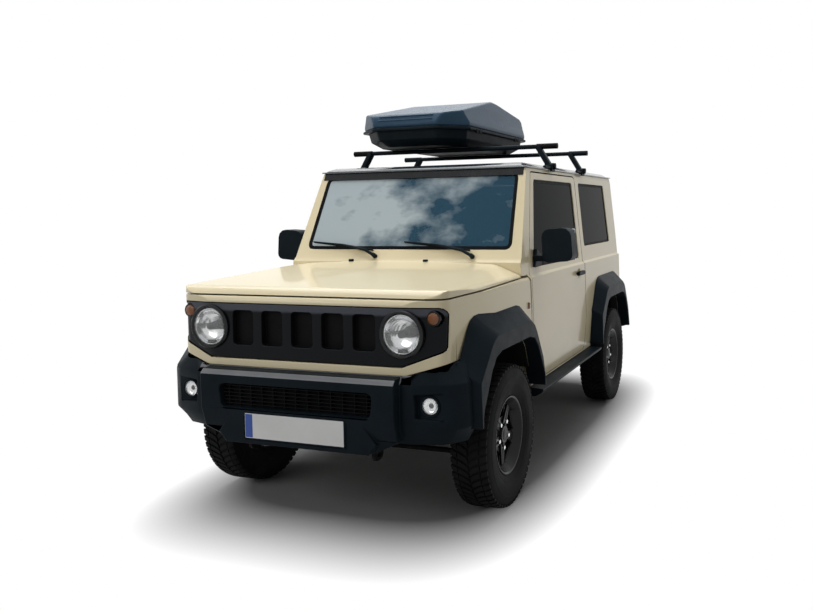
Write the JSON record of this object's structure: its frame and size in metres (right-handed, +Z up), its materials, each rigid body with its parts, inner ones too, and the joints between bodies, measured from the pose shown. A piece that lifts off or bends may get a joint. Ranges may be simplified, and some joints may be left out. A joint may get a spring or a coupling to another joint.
{
  "type": "compact off-road sport utility vehicle",
  "caption": "Three-door body-on-frame off-road car with black trim, roof bars and a roof box; wheels roll and steer, doors, bonnet, tailgate and box lid open.",
  "frame": {"origin": "on the floor, below the middle of the overall length and width", "axes": "+Z up, nose towards -Y, the vehicle's left-hand side towards +X"},
  "size_m": [1.9036, 3.645, 2.1889],
  "materials": {
    "ivory_paint": "gloss",
    "black_paint": "gloss",
    "gloss_black": "gloss",
    "roof_box_shell": "satin",
    "black_plastic": "satin",
    "glass": "gloss",
    "lamp_glass": "gloss",
    "amber_lens": "gloss",
    "red_lens": "gloss",
    "chassis_black": "satin",
    "damper_steel": "satin",
    "exhaust_steel": "satin",
    "cast_alloy": "cast",
    "seat_cloth": "woven",
    "rim_black": "gloss",
    "tyre_rubber": "matte"
  },
  "bodies": {
    "body": {"body_shell": "ivory_paint", "body_floor": "chassis_black", "front_wings": "ivory_paint", "roof_panel": "black_paint", "windscreen": "glass", "quarter_windows": "glass", "grille": "gloss_black", "headlamps": "lamp_glass", "turn_lamps": "amber_lens", "fog_lamps": "lamp_glass", "front_bumper": "black_plastic", "rear_bumper": "black_plastic", "rear_lamps": "red_lens", "arch_flares": "black_plastic", "arch_liners": "black_plastic", "side_sills": "black_plastic", "wipers": "black_plastic", "chassis_rails": "chassis_black", "crossmembers": "chassis_black", "tow_eyes": "chassis_black", "engine": "cast_alloy", "gearbox": "cast_alloy", "propshafts": "chassis_black", "front_axle": "chassis_black", "rear_axle": "chassis_black", "coil_springs": "chassis_black", "dampers": "damper_steel", "axle_links": "chassis_black", "exhaust": "exhaust_steel", "fuel_tank": "chassis_black", "dashboard": "black_plastic", "front_seats": "seat_cloth", "rear_bench": "seat_cloth", "roof_bars": "chassis_black", "roof_box_base": "roof_box_shell"},
    "bonnet": {"bonnet": "ivory_paint"},
    "roof_box_lid": {"roof_box_lid": "roof_box_shell"},
    "door_left": {"door_left": "ivory_paint", "door_glass_left": "glass", "door_fittings_left": "black_plastic"},
    "door_right": {"door_right": "ivory_paint", "door_glass_right": "glass", "door_fittings_right": "black_plastic"},
    "tailgate": {"tailgate": "ivory_paint", "tailgate_glass": "glass", "spare_tyre": "tyre_rubber", "spare_cover": "black_plastic"},
    "knuckle_left": {"knuckle_left": "chassis_black"},
    "knuckle_right": {"knuckle_right": "chassis_black"},
    "tie_rod": {"tie_rod": "chassis_black"},
    "steering_wheel": {"steering_wheel": "black_plastic"},
    "wheel_front_left": {"rim_front_left": "rim_black", "tyre_front_left": "tyre_rubber"},
    "wheel_front_right": {"rim_front_right": "rim_black", "tyre_front_right": "tyre_rubber"},
    "wheel_rear_left": {"rim_rear_left": "rim_black", "tyre_rear_left": "tyre_rubber"},
    "wheel_rear_right": {"rim_rear_right": "rim_black", "tyre_rear_right": "tyre_rubber"}
  },
  "joints": [
    {"name": "bonnet_hinge", "type": "hinge", "parent": "body", "child": "bonnet", "pos_m": [0, -0.797, 1.176], "axis": [-1, 0, 0], "range_deg": [0, 55]},
    {"name": "door_left_hinge", "type": "hinge", "parent": "body", "child": "door_left", "pos_m": [0.742, -0.657, 0.9], "axis": [0, 0, -1], "range_deg": [0, 65]},
    {"name": "door_right_hinge", "type": "hinge", "parent": "body", "child": "door_right", "pos_m": [-0.742, -0.657, 0.9], "axis": [0, 0, 1], "range_deg": [0, 65]},
    {"name": "tailgate_hinge", "type": "hinge", "parent": "body", "child": "tailgate", "pos_m": [-0.64, 1.61, 0.9], "axis": [0, 0, 1], "range_deg": [0, 90]},
    {"name": "roof_box_lid_hinge", "type": "hinge", "parent": "body", "child": "roof_box_lid", "pos_m": [-0.531, 0.245, 1.9635], "axis": [0, -1, 0], "range_deg": [0, 45]},
    {"name": "steer_left", "type": "hinge", "parent": "body", "child": "knuckle_left", "pos_m": [0.61, -1.1525, 0.3465], "axis": [0, 0, 1], "range_deg": [-33, 33]},
    {"name": "steer_right", "type": "hinge", "parent": "body", "child": "knuckle_right", "pos_m": [-0.61, -1.1525, 0.3465], "axis": [0, 0, 1], "range_deg": [-33, 33]},
    {"name": "tie_rod_swing", "type": "hinge", "parent": "knuckle_left", "child": "tie_rod", "pos_m": [0.61, -1.2925, 0.2885], "axis": [0, 0, 1], "range_deg": [-33, 33]},
    {"name": "steering_wheel_turn", "type": "hinge", "parent": "body", "child": "steering_wheel", "pos_m": [0.335, -0.262, 1.01], "axis": [0, 0.9135, 0.4067], "range_deg": [-570, 570]},
    {"name": "wheel_front_left_spin", "type": "hinge", "parent": "knuckle_left", "child": "wheel_front_left", "pos_m": [0.6975, -1.1525, 0.3465], "axis": [1, 0, 0], "continuous": true},
    {"name": "wheel_front_right_spin", "type": "hinge", "parent": "knuckle_right", "child": "wheel_front_right", "pos_m": [-0.6975, -1.1525, 0.3465], "axis": [1, 0, 0], "continuous": true},
    {"name": "wheel_rear_left_spin", "type": "hinge", "parent": "body", "child": "wheel_rear_left", "pos_m": [0.7025, 1.0975, 0.3465], "axis": [1, 0, 0], "continuous": true},
    {"name": "wheel_rear_right_spin", "type": "hinge", "parent": "body", "child": "wheel_rear_right", "pos_m": [-0.7025, 1.0975, 0.3465], "axis": [1, 0, 0], "continuous": true}
  ],
  "couplings": [
    {"joint": "steer_right", "follows": "steer_left", "ratio": 1},
    {"joint": "tie_rod_swing", "follows": "steer_left", "ratio": -1},
    {"joint": "steering_wheel_turn", "follows": "steer_left", "ratio": 17}
  ]
}
